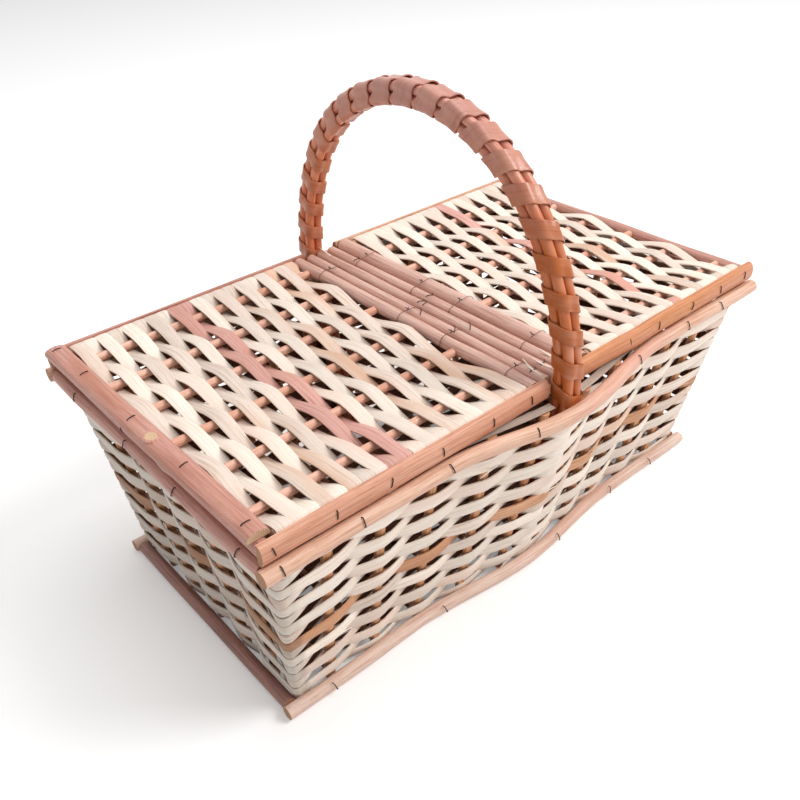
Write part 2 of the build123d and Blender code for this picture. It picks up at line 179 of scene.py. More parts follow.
# The studio, in metres, and the photograph's camera
FLOOR_SIZE = 8
FLOOR_DROP = 0.0005
FLOOR_GLOW = 0.22
SURROUND_LIGHT = 0.42
LENS = 39.66
SENSOR = 36
CAMERA_PLACE = (-0.34391, -0.38912, 0.44693)
YAW = math.radians(39.788)
PITCH = math.radians(-34.714)
ROLL = math.radians(-2.384)


def at_height(base, rim, z):
    """A size of the tapered body at height z."""
    return base + (rim - base) * (z - BASE_Z) / (RIM_Z - BASE_Z)


def half_length(z):
    """How far the short walls' stakes stand from the middle at height z."""
    return at_height(HALF_LENGTH_BASE, HALF_LENGTH_RIM, z)


def half_width(z):
    """How far the long walls' stakes stand from the middle at height z, without the ridge."""
    return at_height(HALF_WIDTH_BASE, HALF_WIDTH_RIM, z)


def mix(a, b, share):
    return a + (b - a) * share


def places(count, pitch, middle=0):
    """Evenly spaced places about a middle."""
    return [middle + (i - (count - 1) / 2) * pitch for i in range(count)]


def samples(start, end, steps):
    """Values from start to end in equal steps."""
    return [mix(start, end, k / steps) for k in range(steps + 1)]


# The handle's middle line: crown, sides, bends and legs
SIDE_ANGLE = math.pi / 2 - CROWN_ANGLE
SIDE_R = (HANDLE_HALF_SPAN - CROWN_R * math.sin(CROWN_ANGLE)) / (1 - math.sin(CROWN_ANGLE))
CROWN_Z = HANDLE_TOP_Z - CROWN_R
SPRING_Z = CROWN_Z - (SIDE_R - CROWN_R) * math.cos(CROWN_ANGLE)
LEG_BEND_Z = SPRING_Z - LEG_BEND_R * math.sin(LEG_LEAN)
LEG_BEND_Y = HANDLE_HALF_SPAN - LEG_BEND_R * (1 - math.cos(LEG_LEAN))
CROWN_LENGTH = CROWN_R * CROWN_ANGLE
SPRING_LENGTH = CROWN_LENGTH + SIDE_R * SIDE_ANGLE
LEG_START = SPRING_LENGTH + LEG_BEND_R * LEG_LEAN
HALF_ARCH = LEG_START + (LEG_BEND_Z - LEG_FOOT_Z) / math.cos(LEG_LEAN)


def arch(s):
    """The handle's middle (y, z) at a length s from its top, and its outward direction."""
    side = 1 if s >= 0 else -1
    s = abs(s)
    if s < CROWN_LENGTH:
        turn = s / CROWN_R
        y = CROWN_R * math.sin(turn)
        z = CROWN_Z + CROWN_R * math.cos(turn)
    elif s < SPRING_LENGTH:
        turn = CROWN_ANGLE + (s - CROWN_LENGTH) / SIDE_R
        y = HANDLE_HALF_SPAN - SIDE_R * (1 - math.sin(turn))
        z = SPRING_Z + SIDE_R * math.cos(turn)
    elif s < LEG_START:
        turn = math.pi / 2 + (s - SPRING_LENGTH) / LEG_BEND_R
        y = HANDLE_HALF_SPAN - LEG_BEND_R * (1 - math.sin(turn))
        z = SPRING_Z + LEG_BEND_R * math.cos(turn)
    else:
        turn = math.pi / 2 + LEG_LEAN
        y = LEG_BEND_Y - (s - LEG_START) * math.sin(LEG_LEAN)
        z = LEG_BEND_Z - (s - LEG_START) * math.cos(LEG_LEAN)
    return Vector((HANDLE_X, side * y, z)), Vector((0, side * math.sin(turn), math.cos(turn)))


def leg_outer_face(z):
    """How far out the outer side of a handle leg stands at height z."""
    bundle_half = (HANDLE_ROD_PITCH + HANDLE_ROD_D) / 2
    if z < LEG_BEND_Z:
        return LEG_BEND_Y - (LEG_BEND_Z - z) * math.tan(LEG_LEAN) + bundle_half
    drop = SPRING_Z - z
    return HANDLE_HALF_SPAN - LEG_BEND_R + math.sqrt(LEG_BEND_R**2 - drop**2) + bundle_half


RIM_OUT = STAKE_D / 2 + FIT + RIM_ROD_D / 2
BASE_OUT = STAKE_D / 2 + FIT + BASE_ROD_D / 2
RIDGE_RIM = leg_outer_face(RIM_Z) + FIT + RIM_ROD_D / 2 - HALF_WIDTH_RIM - RIM_OUT

# The bent rods stand a little further out than the ridge that they follow
RIM_PEAK = RIDGE_RIM + 0.8
BASE_PEAK = RIDGE_BASE + 1


def ridge_share(x):
    """The height of the ridge at x, from 0 at its ends to 1 at the handle."""
    return max(0, 1 - abs(x - HANDLE_X) / RIDGE_REACH)


def ridge(x, z):
    """How far the long wall is pushed out beside the handle."""
    return ridge_share(x) * at_height(RIDGE_BASE, RIDGE_RIM, z)


def soft_ridge(x, peak):
    """The ridge of a bent rod, with its corners rounded."""
    share = ridge_share(x)
    return peak * share * share * (3 - 2 * share)


# Gathering strands into meshes
def wander(rng, span, amount):
    """A smooth irregular change along a strand, with features about a span long."""
    waves = [(rng.uniform(0.6, 1.7) * span, rng.uniform(0, 2 * math.pi)) for _ in range(3)]
    return lambda s: amount * sum(math.sin(2 * math.pi * s / w + p) for w, p in waves) / 2


def woven_line(knots):
    """Points through the knots: bent at each stake and nearly straight between them."""
    line = [knots[0]]
    for (a, low), (b, high) in zip(knots, knots[1:]):
        for share in samples(0, 1, LINE_STEPS)[1:]:
            bent = 0.5 - 0.5 * math.cos(math.pi * share)
            line.append((mix(a, b, share), mix(low, high, mix(bent, share, STRAIGHTNESS))))
    return line


def lengths_along(path):
    """How far each point is from the first, along the path."""
    lengths = [0.0]
    for near, far in zip(path, path[1:]):
        lengths.append(lengths[-1] + (far - near).length)
    return lengths


class Strands:
    """Gathers swept strips, rods and wires into one mesh with lengthwise UVs."""

    def __init__(self, name):
        self.name = name
        self.points = []
        self.faces = []
        self.uvs = []
        self.slots = []
        self.tones = []
        self.strands = 0

    def loft(self, rings, tone=0.0, slot=0, end_slot=None, closed=False, inner_shade_slot=None):
        """Skins a row of rings and caps its open ends. A strip's first two faces are its flat inner side,
        which can take a dark material as painted shade.
        """
        count = len(rings[0])
        first = len(self.points)
        lengths = [s * UV_CM for s in lengths_along([ring[0] for ring in rings + rings[:1]])]
        shift = self.strands * STRAND_SHIFT
        girth = [shift + s * UV_CM for s in lengths_along(rings[0] + rings[0][:1])]
        self.strands += 1
        tones = tone if isinstance(tone, list) else [tone] * len(rings)
        for ring, ring_tone in zip(rings, tones):
            self.points += ring
            self.tones += [ring_tone] * count
        for i in range(len(rings) if closed else len(rings) - 1):
            a = first + i * count
            b = first + (i + 1) % len(rings) * count
            for k in range(count):
                after = (k + 1) % count
                self.faces.append((a + k, a + after, b + after, b + k))
                self.slots.append(inner_shade_slot if inner_shade_slot is not None and k < 2 else slot)
                corners = ((i, k), (i, k + 1), (i + 1, k + 1), (i + 1, k))
                self.uvs += [(lengths[far], girth[around]) for far, around in corners]
        if not closed:
            cut = slot if end_slot is None else end_slot
            self.cap(rings[0], first, cut, True)
            self.cap(rings[-1], first + (len(rings) - 1) * count, cut, False)

    def cap(self, ring, first, slot, flipped):
        """Closes a strand's end, with UVs that give the distance from its middle."""
        count = len(ring)
        order = list(range(count))
        if flipped:
            order.reverse()
        middle = sum(ring, Vector()) / count
        self.faces.append(tuple(first + k for k in order))
        self.slots.append(slot)
        for k in order:
            reach = (ring[k] - middle).length * UV_CM
            angle = 2 * math.pi * k / count
            self.uvs.append((reach * math.cos(angle), reach * math.sin(angle)))

    def finish(self, body, materials, slot, nodes=()):
        """Makes the object, gives it to a body, and hides the nodes that it stands for."""
        mesh = bpy.data.meshes.new(self.name)
        mesh.from_pydata([p * MM for p in self.points], [], self.faces)
        layer = mesh.uv_layers.new(name="strand")
        layer.data.foreach_set("uv", [c for uv in self.uvs for c in uv])
        tone = mesh.attributes.new("tone", "FLOAT", "POINT")
        tone.data.foreach_set("value", self.tones)
        mesh.polygons.foreach_set("material_index", self.slots)
        for material in materials:
            mesh.materials.append(material)
        work = bmesh.new()
        work.from_mesh(mesh)
        bmesh.ops.recalc_face_normals(work, faces=work.faces)
        work.to_mesh(mesh)
        work.free()
        mesh.shade_smooth()
        mesh.set_sharp_from_angle(angle=CREASE)
        piece = bpy.data.objects.new(self.name, mesh)
        bpy.context.scene.collection.objects.link(piece)
        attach(piece, body)
        if nodes:
            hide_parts(*nodes)


def directions(path, closed=False):
    """The direction of travel at each point of a path."""
    last = len(path) - 1
    found = []
    for i in range(len(path)):
        before = path[i - 1] if i or closed else path[i]
        after = path[(i + 1) % len(path)] if i < last or closed else path[i]
        found.append((after - before).normalized())
    return found


def leaf_widths(path, heights, width, rng):
    """A strip's width at each point: widest where it shows and narrow where it dives under."""
    spread = wander(rng, 60, 0.45)
    widths = []
    for s, height in zip(lengths_along(path), heights):
        shown = max(-0.5, min(1, height / WAVE))
        widths.append(width + LEAF * shown + spread(s))
    return widths


# Sections, in shares of half a width and half a thickness: flat inside and a little rounded outside
STRIP_SECTION = ((-1, -1), (0, -0.8), (1, -1), (1, 0.3), (0.75, 0.9), (0, 1.15), (-0.75, 0.9), (-1, 0.3))
BINDING_SECTION = ((-1, -1), (1, -1), (1, 0.6), (0.88, 1), (0, 1.1), (-0.88, 1), (-1, 0.6))


def section(centre, side, out, width, thickness, outline):
    """An outline set across a strip."""
    w = width / 2
    t = thickness / 2
    return [centre + side * (a * w) + out * (b * t) for a, b in outline]


def strip_rings(path, across, widths, thickness=STRIP_T, closed=False):
    """Sections of a flat strip. The way across it and its width are single values or lists."""
    rings = []
    for i, (centre, along) in enumerate(zip(path, directions(path, closed))):
        side = across[i] if isinstance(across, list) else across
        side = (side - along * side.dot(along)).normalized()
        width = widths[i] if isinstance(widths, list) else widths
        rings.append(section(centre, side, along.cross(side), width, thickness, STRIP_SECTION))
    return rings


def sliver(made, points, across, wide, narrow, thickness, tone, slot):
    """A thin split piece that tapers along its points."""
    widths = samples(wide, narrow, len(points) - 1)
    made.loft(strip_rings(points, across, widths, thickness), tone=tone, slot=slot)


def rod_rings(path, radius, sides, up=Z_AXIS, swell=lambda s: 0, knots=()):
    """Sections of a round rod that swells along its length; a knot is (length, angle, height)."""
    rings = []
    for s, centre, along in zip(lengths_along(path), path, directions(path)):
        side = along.cross(up).normalized()
        out = side.cross(along)
        ring = []
        for k in range(sides):
            angle = 2 * math.pi * k / sides
            r = radius + swell(s)
            for place, facing, height in knots:
                near = math.exp(-(((s - place) / KNOT_REACH) ** 2))
                r += height * near * max(0, math.cos(angle - facing)) ** 3
            ring.append(centre + side * (r * math.cos(angle)) + out * (r * math.sin(angle)))
        rings.append(ring)
    return rings


def grown_rod(made, path, diameter, rng, swelling, tone_span, knots=()):
    """A natural rod with sawn ends, worn flat where it meets the ground."""
    swell = wander(rng, SWELL_SPAN, swelling)
    rings = rod_rings(path, diameter / 2, ROD_SIDES, swell=swell, knots=knots)
    for ring in rings:
        for point in ring:
            point.z = max(point.z, 0)
    made.loft(rings, tone=rng.uniform(-tone_span, tone_span), end_slot=1)


def natural_path(start, end, rng, amount=0.35):
    """A nearly straight path with a grown rod's slight bends."""
    run = end - start
    count = max(2, round(run.length / ROD_STEP))
    sideways = Z_AXIS.cross(run).normalized()
    bend = wander(rng, 90, amount)
    rise = wander(rng, 110, amount * 0.6)
    path = []
    for share in samples(0, 1, count):
        s = run.length * share
        path.append(start + run * share + sideways * bend(s) + Z_AXIS * rise(s))
    return path


def node_box(node):
    """A CAD node's lowest and highest corners, in millimetres."""
    low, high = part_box(node)
    return low / MM, high / MM


def box_rod(node):
    """The ends and diameter of a straight rod that lies along X or Y."""
    low, high = node_box(node)
    size = high - low
    axis = 0 if size.x > size.y else 1
    start = (low + high) / 2
    end = start.copy()
    start[axis] = low[axis]
    end[axis] = high[axis]
    return start, end, min(size)


# Materials
WHITE = (1, 1, 1, 1)
BLACK = (0, 0, 0, 1)
ALONG_X = 0
ALONG_Y = 1
ALONG_Z = 2
PER_METRE = 100


def rgb(red, green, blue):
    """A colour as seen, 0 to 255, in the shader's linear values."""
    parts = []
    for value in (red, green, blue):
        v = value / 255
        parts.append(v / 12.92 if v <= 0.04045 else ((v + 0.055) / 1.055) ** 2.4)
    return (*parts, 1.0)


class Shader:
    """A node tree, with short calls. The grain runs along an axis, or along a strand's UVs."""

    def __init__(self, owner, axis=None, surface="Principled BSDF"):
        owner.use_nodes = True
        self.owner = owner
        self.tree = owner.node_tree
        self.surface = self.tree.nodes[surface]
        self.axis = axis

    def feed(self, socket, value):
        """Links a source to a socket, or sets the socket to a fixed value."""
        if isinstance(value, bpy.types.NodeSocket):
            self.tree.links.new(value, socket)
        else:
            socket.default_value = value

    def node(self, kind, **settings):
        made = self.tree.nodes.new(kind)
        for key, value in settings.items():
            if hasattr(made, key):
                setattr(made, key, value)
            else:
                self.feed(made.inputs[key], value)
        return made

    def finish(self, **values):
        """Feeds the surface, with a socket's words joined by underscores."""
        for name, value in values.items():
            self.feed(self.surface.inputs[name.replace("_", " ")], value)
        return self.owner

    def coordinates(self):
        """A strand's UVs in centimetres, or the object's own coordinates."""
        if self.axis is None:
            return self.node("ShaderNodeUVMap", uv_map="strand").outputs["UV"]
        return self.node("ShaderNodeTexCoord").outputs["Object"]

    def noise(self, along, across, detail=4.0, roughness=0.6):
        """Noise stretched along the grain, with features per centimetre each way."""
        scale = [along, across, 1.0]
        if self.axis is not None:
            scale = [across * PER_METRE] * 3
            scale[self.axis] = along * PER_METRE
        place = self.node("ShaderNodeMapping", Scale=scale, Vector=self.coordinates()).outputs["Vector"]
        made = self.node("ShaderNodeTexNoise", Vector=place, Scale=1.0, Detail=detail, Roughness=roughness)
        return made.outputs["Fac"]

    def ramp(self, source, *stops):
        made = self.node("ShaderNodeValToRGB", Fac=source)
        elements = made.color_ramp.elements
        while len(elements) < len(stops):
            elements.new(0.5)
        for element, (position, colour) in zip(elements, stops):
            element.position = position
            element.color = colour
        return made.outputs["Color"]

    def blend(self, factor, first, second, way="MIX"):
        made = self.node("ShaderNodeMix", data_type="RGBA", blend_type=way)
        sockets = [s for s in made.inputs if s.enabled]
        for socket, value in zip(sockets, (factor, first, second)):
            self.feed(socket, value)
        return next(s for s in made.outputs if s.enabled)

    def calculate(self, first, second, way="ADD"):
        made = self.node("ShaderNodeMath", operation=way)
        self.feed(made.inputs[0], first)
        self.feed(made.inputs[1], second)
        return made.outputs["Value"]

    def map_range(self, source, start=0.0, end=1.0, low=0.0, high=1.0):
        """Turns a value that runs from start to end into one that runs from low to high."""
        made = self.node("ShaderNodeMapRange", Value=source)
        for name, value in (("From Min", start), ("From Max", end), ("To Min", low), ("To Max", high)):
            made.inputs[name].default_value = value
        return made.outputs["Result"]

    def stained(self, colour, source, start, end, stain, most):
        """A colour that turns to a stain where a source is high, at most by a share."""
        amount = self.ramp(source, (start, BLACK), (end, (most, most, most, 1)))
        return self.blend(amount, colour, rgb(*stain))

    def marked(self, colour, source, start, end, dark, share):
        """A colour darkened where a source is below start, and left alone above end."""
        marks = self.ramp(source, (start, (*dark, 1)), (end, WHITE))
        return self.blend(share, colour, marks, "MULTIPLY")

    def toned(self, colour, amount):
        """A colour made darker or lighter by each strand's tone, which on the left wall also carries painted
        shade.
        """
        tone = self.node("ShaderNodeAttribute", attribute_name="tone").outputs["Fac"]
        value = self.calculate(self.calculate(tone, amount, "MULTIPLY"), 1.0)
        return self.node("ShaderNodeHueSaturation", Value=value, Color=colour).outputs["Color"]

    def bump(self, height, strength, distance):
        made = self.node("ShaderNodeBump", Height=height, Strength=strength, Distance=distance)
        return made.outputs["Normal"]

    def direct_rays(self):
        """1 for what the camera, glossy surfaces and glass see, and 0 for light on the object."""
        rays = self.node("ShaderNodeLightPath").outputs
        seen = rays["Is Camera Ray"]
        for kind in ("Is Glossy Ray", "Is Transmission Ray"):
            seen = self.calculate(seen, rays[kind], "MAXIMUM")
        return seen


def willow(name, dark, mid, light, stain, axis=None, gloss=0.55, fibres=0.55):
    """Split or peeled willow: grain streaks, stains, pores and a tone for each strand."""
    shader = Shader(bpy.data.materials.new(name), axis)
    grain = shader.noise(0.22, 6.0, detail=5.0, roughness=0.68)
    colour = shader.ramp(grain, (0.30, rgb(*dark)), (0.48, rgb(*mid)), (0.70, rgb(*light)))
    patch = shader.noise(0.06, 0.35, detail=2.0, roughness=0.5)
    colour = shader.stained(colour, patch, 0.48, 0.68, stain, 0.85)
    fibre = shader.noise(0.9, 26.0, detail=3.0, roughness=0.6)
    colour = shader.marked(colour, fibre, 0.34, 0.44, (0.72, 0.66, 0.60), fibres)
    pores = shader.noise(7.0, 9.0, detail=2.0, roughness=0.5)
    colour = shader.marked(colour, pores, 0.24, 0.285, (0.45, 0.36, 0.30), 0.8)
    if axis is None:
        colour = shader.toned(colour, 0.10)
    return shader.finish(
        Base_Color=colour,
        Roughness=shader.map_range(patch, low=gloss - 0.12, high=gloss + 0.16),
        Normal=shader.bump(shader.calculate(grain, fibre), fibres, 0.0004),
    )


def cut_end(name, inner, outer):
    """The sawn end of a rod, with its pith and growth rings."""
    shader = Shader(bpy.data.materials.new(name))
    waves = {"wave_type": "RINGS", "rings_direction": "SPHERICAL", "Scale": 4.5, "Distortion": 1.2}
    rings = shader.node("ShaderNodeTexWave", Vector=shader.coordinates(), **waves).outputs["Fac"]
    colour = shader.ramp(rings, (0.2, rgb(*inner)), (0.9, rgb(*outer)))
    return shader.finish(Base_Color=colour, Roughness=0.8)


def handle_skin(name):
    """Glossy cane skin: brown at the front foot, pink over the top, salmon at the back."""
    shader = Shader(bpy.data.materials.new(name))
    spot = shader.node("ShaderNodeTexCoord").outputs["Object"]
    where = shader.node("ShaderNodeSeparateXYZ", Vector=spot).outputs
    height = shader.map_range(where["Z"], 0.24, 0.305)
    depth = shader.map_range(where["Y"], -0.09, 0.10)
    foot = shader.blend(depth, rgb(188, 98, 38), rgb(206, 124, 86))
    colour = shader.blend(height, foot, rgb(208, 146, 130))
    grain = shader.noise(0.25, 8.0, detail=5.0, roughness=0.65)
    colour = shader.marked(colour, grain, 0.30, 0.50, (0.70, 0.58, 0.50), 0.75)
    patch = shader.noise(0.3, 0.7, detail=2.0)
    colour = shader.stained(colour, patch, 0.48, 0.74, (228, 172, 144), 0.45)
    pores = shader.noise(4.0, 6.0, detail=2.0, roughness=0.5)
    colour = shader.marked(colour, pores, 0.235, 0.27, (0.32, 0.20, 0.16), 0.9)
    return shader.finish(
        Base_Color=shader.toned(colour, 0.12), Roughness=0.3, Normal=shader.bump(grain, 0.35, 0.0003)
    )


def iron(name, dark, light):
    """Iron wire, freckled with rust."""
    shader = Shader(bpy.data.materials.new(name), ALONG_X)
    colour = shader.ramp(shader.noise(9.0, 9.0, detail=3.0), (0.40, rgb(*dark)), (0.66, rgb(*light)))
    return shader.finish(Base_Color=colour, Metallic=0.6, Roughness=0.5)


# Each willow has its dark, middle and light grain and its stain, as seen in the photograph
CREAM = willow("cream_willow", (228, 206, 186), (244, 229, 214), (250, 240, 228), (238, 209, 192), fibres=0.3)
BUFF = willow("buff_willow", (202, 174, 152), (232, 213, 198), (242, 229, 216), (222, 178, 148), fibres=0.35)
PINK = willow("pink_willow", (182, 122, 112), (212, 158, 146), (228, 182, 170), (212, 152, 132), fibres=0.4)
BROWN = willow("brown_willow", (166, 108, 70), (204, 148, 108), (228, 182, 146), (186, 130, 94))
# Painted shade: a dark brown for the strips' inner sides, where the real willow is no darker; it stands for
# the shade between and behind the strips.
INNER_SIDE_SHADE = willow("inner_side_painted_shade", (84, 52, 38), (126, 82, 60), (156, 108, 82), (104, 66, 50), gloss=0.7)
MAUVE = willow("mauve_rod", (178, 128, 114), (220, 176, 160), (234, 200, 184), (204, 152, 132), gloss=0.42)
ROSE = willow("rose_rod", (158, 98, 82), (200, 142, 126), (220, 170, 154), (180, 112, 82), gloss=0.40)
TAN = willow("tan_rod", (190, 128, 96), (228, 180, 152), (242, 206, 184), (222, 160, 144), gloss=0.42)
CLAY = willow("clay_rod", (166, 104, 76), (212, 150, 120), (230, 180, 154), (200, 128, 94), gloss=0.42)
ORANGE = willow("orange_rod", (160, 92, 48), (206, 130, 78), (222, 158, 110), (216, 150, 126), gloss=0.38)
BLUSH = willow("blush_rod", (200, 150, 128), (234, 200, 182), (244, 220, 204), (216, 166, 142), gloss=0.5)
# The side base rods' pinkish brown, darkened as painted shade for the shade on the left end.
SHADE_DARKENED_ROD = willow("painted_shade_rod", (112, 74, 64), (154, 108, 96), (182, 136, 122), (130, 84, 66), gloss=0.46)
ASH = willow("grey_strip", (150, 132, 120), (196, 180, 166), (216, 202, 188), (176, 152, 136))
STAKE = willow("wall_stake", (170, 106, 64), (216, 152, 106), (236, 186, 144), (188, 124, 82))
POST = willow("corner_post", (146, 90, 52), (194, 134, 90), (220, 168, 126), (170, 110, 72), ALONG_Z)
LID_STAKE = willow("lid_stake", (200, 138, 112), (238, 184, 160), (248, 206, 186), (222, 158, 128), ALONG_X)
CROSS_STAKE = willow("cross_stake", (150, 96, 62), (196, 142, 102), (220, 172, 134), (176, 118, 78), ALONG_Y)
FRAME_COLOURS = ((160, 120, 90), (200, 164, 134), (222, 192, 166), (184, 140, 110))
FRAME_X = willow("frame_rod_x", *FRAME_COLOURS, ALONG_X)
FRAME_Y = willow("frame_rod_y", *FRAME_COLOURS, ALONG_Y)
HANDLE = handle_skin("handle_skin")
CUT = cut_end("cut_end", (150, 100, 70), (206, 164, 128))
PALE_CUT = cut_end("pale_cut_end", (196, 150, 110), (234, 208, 176))
WIRE = iron("iron_wire", (38, 30, 36), (78, 56, 48))
RUST = iron("rusty_wire", (104, 68, 58), (150, 104, 86))
SIDES = ("front", "back", "left", "right")


def dress(material, *nodes):
    """Gives CAD nodes whose shape is right a better material."""
    for name in nodes:
        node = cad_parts[name]
        node.data.materials.clear()
        node.data.materials.append(material)


dress(POST, "corner_posts")
dress(LID_STAKE, "left_lid_stakes", "right_lid_stakes")
dress(CROSS_STAKE, "floor_stakes", "centre_bar_lath")
dress(FRAME_X, "front_inner_rim_rod", "back_inner_rim_rod")
dress(FRAME_Y, "left_inner_rim_rod", "right_inner_rim_rod")
dress(FRAME_X, *[f"{lid}_lid_{side}_rod" for lid in ("left", "right") for side in ("front", "back")])


# The woven walls
def side_of(index, row):
    """Which side of a stake a strip passes: +1 outside, -1 inside."""
    return 1 if (index + row) % 2 == 0 else -1


def long_places(z):
    """Evenly spaced places of stakes along the body at height z."""
    return places(LONG_STAKES, at_height(LONG_PITCH_BASE, LONG_PITCH_RIM, z))


def long_stakes(z):
    """The long walls' stakes at height z, moved so that the handle stands midway between two."""
    return [x + HANDLE_X * max(0, 1 - abs(x) / RIDGE_REACH) for x in long_places(z)]


def short_stakes(z):
    """The short walls' stakes at height z."""
    return places(SHORT_STAKES, at_height(SHORT_PITCH_BASE, SHORT_PITCH_RIM, z))


def wall_line(stakes, corner, row, swing, rng, legs=()):
    """A strip's line between two corners, past the stakes and legs: (place, how far out)."""
    knots = [(at, swing * side_of(i, row) * rng.uniform(*WALL_SWINGS)) for i, at in enumerate(stakes)]
    return woven_line(sorted([(-corner, swing), *knots, *legs, (corner, swing)]))


def long_wall_line(row, z, swing, rng):
    """A row along the front wall: (x, how far out, how far out of the stakes' middle)."""
    edge = HANDLE_ROD_PITCH / 2 + PAST_LEG_X
    over_leg = leg_outer_face(z + PAST_LEG_Z) + FIT + STRIP_T / 2 - half_width(z)
    legs = [(x, over_leg - ridge(x, z)) for x in (HANDLE_X - edge, HANDLE_X + edge)]
    line = wall_line(long_stakes(z), half_length(z), row, swing, rng, legs)
    return [(x, half_width(z) + ridge(x, z) + out, out) for x, out in line]


def short_wall_line(row, z, swing, rng):
    """A row along the right wall: (y, how far out, how far out of the stakes' middle)."""
    line = wall_line(short_stakes(z), half_width(z), row, swing, rng)
    return [(y, half_length(z) + out, out) for y, out in line]


LONG_LEAN = Vector((0, HALF_WIDTH_RIM - HALF_WIDTH_BASE, RIM_Z - BASE_Z)).normalized()
SHORT_LEAN = Vector((HALF_LENGTH_RIM - HALF_LENGTH_BASE, 0, RIM_Z - BASE_Z)).normalized()


def wall_row(row, rng):
    """One row round the body: its path, the way across it, how far it stands out and its narrowing."""
    z = FIRST_ROW_Z + row * ROW_PITCH
    swing = WAVE
    if row < 0:
        z = FOOT_ROW_Z
        swing = FOOT_ROW_SWING
    path = []
    across = []
    heights = []
    pinch = []

    def put(x, y, lean, out):
        path.append(Vector((x, y, z)))
        across.append(lean)
        heights.append(out)
        from_corner = abs(abs(x) - half_length(z)) + abs(abs(y) - half_width(z))
        pinch.append(mix(CORNER_PINCH, 1, min(1, from_corner / CORNER_REACH) ** 2))

    def corner(x_way, y_way, from_long):
        """Rounds a corner post."""
        for step in range(1, 5):
            turn = step / 5 * math.pi / 2
            a, b = (math.sin(turn), math.cos(turn)) if from_long else (math.cos(turn), math.sin(turn))
            x = x_way * (half_length(z) + swing * a)
            y = y_way * (half_width(z) + swing * b)
            lean = Vector((x_way * SHORT_LEAN.x * a, y_way * LONG_LEAN.y * b, 1)).normalized()
            put(x, y, lean, swing)

    for x, far, out in long_wall_line(row, z, swing, rng):
        put(x, -far, Vector((0, -LONG_LEAN.y, LONG_LEAN.z)), out)
    corner(1, -1, True)
    for y, far, out in short_wall_line(row, z, swing, rng):
        put(far, y, SHORT_LEAN, out)
    corner(1, 1, False)
    for x, far, out in reversed(long_wall_line(row, z, swing, rng)):
        put(x, far, LONG_LEAN, out)
    corner(-1, 1, True)
    for y, far, out in reversed(short_wall_line(row, z, swing, rng)):
        put(-far, y, Vector((-SHORT_LEAN.x, 0, SHORT_LEAN.z)), out)
    corner(-1, -1, False)
    return path, across, heights, pinch


def wall_tones_and_shade(path, rng):
    """A tone for each point of a row: one for each wall, with painted shade making the left wall darkest."""
    tones_and_shade = {side: rng.uniform(-1, 1) for side in SIDES}
    # Painted shade darkens the left wall.
    tones_and_shade["left"] += LEFT_WALL_PAINTED_SHADE
    tones = []
    for point in path:
        if abs(point.x) > half_length(point.z) - WAVE - 1:
            side = "right" if point.x > 0 else "left"
        else:
            side = "front" if point.y < 0 else "back"
        tones.append(tones_and_shade[side])
    return tones


def frays(weave, path, across, heights, pinch, width, rng):
    """Slivers that have split from a strip's edge and stand a little away from it."""
    for _ in range(FRAY_TRIES):
        i = rng.randrange(len(path) - 1)
        if heights[i] < FRAY_HEIGHT or pinch[i] < FRAY_PINCH:
            continue
        travel = (path[i + 1] - path[i]).normalized()
        out = travel.cross(across[i]).normalized()
        travel *= rng.choice((-1, 1))
        edge = path[i] + across[i] * rng.choice((-1, 1)) * (width / 2 - 0.9)
        length = rng.uniform(9, 19)
        turn = rng.uniform(-3, 3)
        points = []
        for share in samples(0, 1, 5):
            off = out * (0.5 + 1.8 * share**2) + across[i] * turn * share**2
            points.append(edge + travel * length * share + off)
        sliver(weave, points, across[i], 1.6, 0.4, 0.5, tone=rng.uniform(-1.5, 0.5), slot=0)


def patch_strip(weave, path, across, width):
    """A short grey strip laid over one row of the left wall."""
    covered = [i for i, point in enumerate(path) if point.x < 0 and abs(point.y - PATCH_Y) < PATCH_REACH]
    points = [path[i] - X_AXIS * STRIP_T for i in covered]
    weave.loft(strip_rings(points, across[covered[0]], width + PATCH_SPARE_W), slot=4)


def woven_walls():
    """The strips of all four walls, folded round the corner posts."""
    rng = random.Random(11)
    weave = Strands("wall_strips")
    for row in range(-1, ROWS):
        path, across, heights, pinch = wall_row(row, rng)
        lift = wander(rng, 70, 0.55)
        lifted = [p + way * lift(s) for p, way, s in zip(path, across, lengths_along(path))]
        width = rng.uniform(*WALL_STRIP_W)
        if row < 0:
            width = FOOT_ROW_W
        widths = [w * p for w, p in zip(leaf_widths(lifted, heights, width, rng), pinch)]
        rings = strip_rings(lifted, across, widths, closed=True)
        slot = 2 if row in BROWN_ROWS else rng.choice((0, 0, 1))
        # The strips' inner sides take the dark material, as painted shade.
        weave.loft(rings, tone=wall_tones_and_shade(lifted, rng), slot=slot, closed=True, inner_shade_slot=3)
        if row >= 0:
            frays(weave, lifted, across, heights, pinch, width, rng)
        if row == PATCH_ROW:
            patch_strip(weave, lifted, across, width)
    nodes = [f"{side}_wall_weave" for side in SIDES]
    weave.finish("basket", [CREAM, BUFF, BROWN, INNER_SIDE_SHADE, ASH], "willow_strip", nodes)


def split_stake(made, foot, head, out, rng):
    """A split stake: a little flatter than round, and wider than deep."""
    drift = wander(rng, 60, 0.25)
    along = (head - foot).normalized()
    side = along.cross(out).normalized()
    away = side.cross(along)
    wide = STAKE_W / 2 * rng.uniform(0.92, 1.1)
    rings = []
    for k, share in enumerate(samples(0, 1, 16)):
        centre = foot + (head - foot) * share
        swell = 1 + 0.12 * drift(k * ROD_STEP)
        ring = []
        for j in range(10):
            angle = 2 * math.pi * j / 10
            across = wide * swell * math.copysign(abs(math.cos(angle)) ** 0.7, math.cos(angle))
            ring.append(centre + side * across + away * (STAKE_DEPTH / 2 * math.sin(angle)))
        rings.append(ring)
    made.loft(rings, tone=rng.uniform(-1.2, 1.0))


